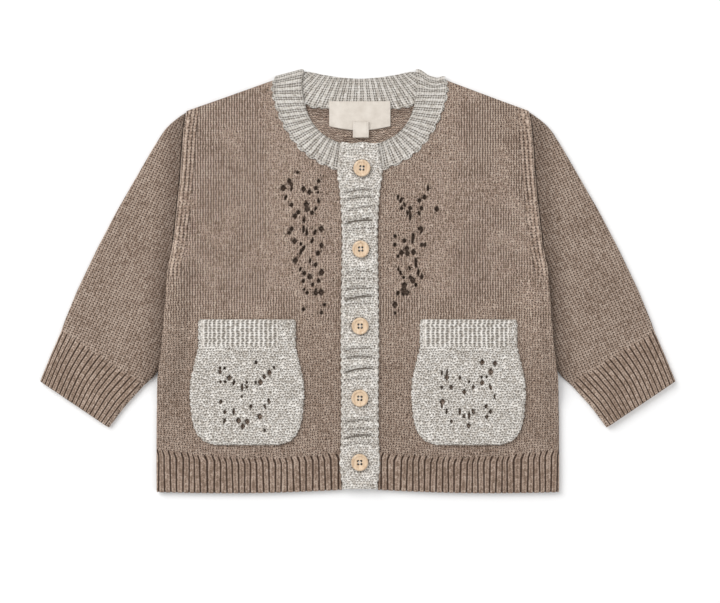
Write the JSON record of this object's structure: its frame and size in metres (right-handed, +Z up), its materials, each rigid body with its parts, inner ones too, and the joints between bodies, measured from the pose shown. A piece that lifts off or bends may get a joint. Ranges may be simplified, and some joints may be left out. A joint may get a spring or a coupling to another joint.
{
  "type": "baby cardigan",
  "caption": "Knitted baby cardigan laid flat, buttoned down the front, with ribbed neck, cuffs and hem, lace fronts and patch pockets.",
  "frame": {"origin": "on the surface that the cardigan lies on, under the middle of its outline", "axes": "+X across the garment to the viewer's right, +Y from hem to neck, +Z up from the surface, out of the garment's front"},
  "size_m": [0.4316, 0.291, 0.0095],
  "materials": {
    "brown_knit": "marled brown stocking stitch",
    "grey_knit": "marled light grey knitting",
    "wood": "pale satin wood",
    "woven_tape": "cream woven tape"
  },
  "bodies": {
    "root": {"back": "brown_knit", "front_left": "brown_knit", "front_right": "brown_knit", "sleeve_left": "brown_knit", "sleeve_right": "brown_knit", "neck_band": "grey_knit", "button_band": "grey_knit", "buttonhole_band": "grey_knit", "pocket_left": "grey_knit", "pocket_right": "grey_knit", "button_1": "wood", "button_2": "wood", "button_3": "wood", "button_4": "wood", "button_5": "wood", "label": "woven_tape", "size_tab": "woven_tape"}
  },
  "joints": []
}
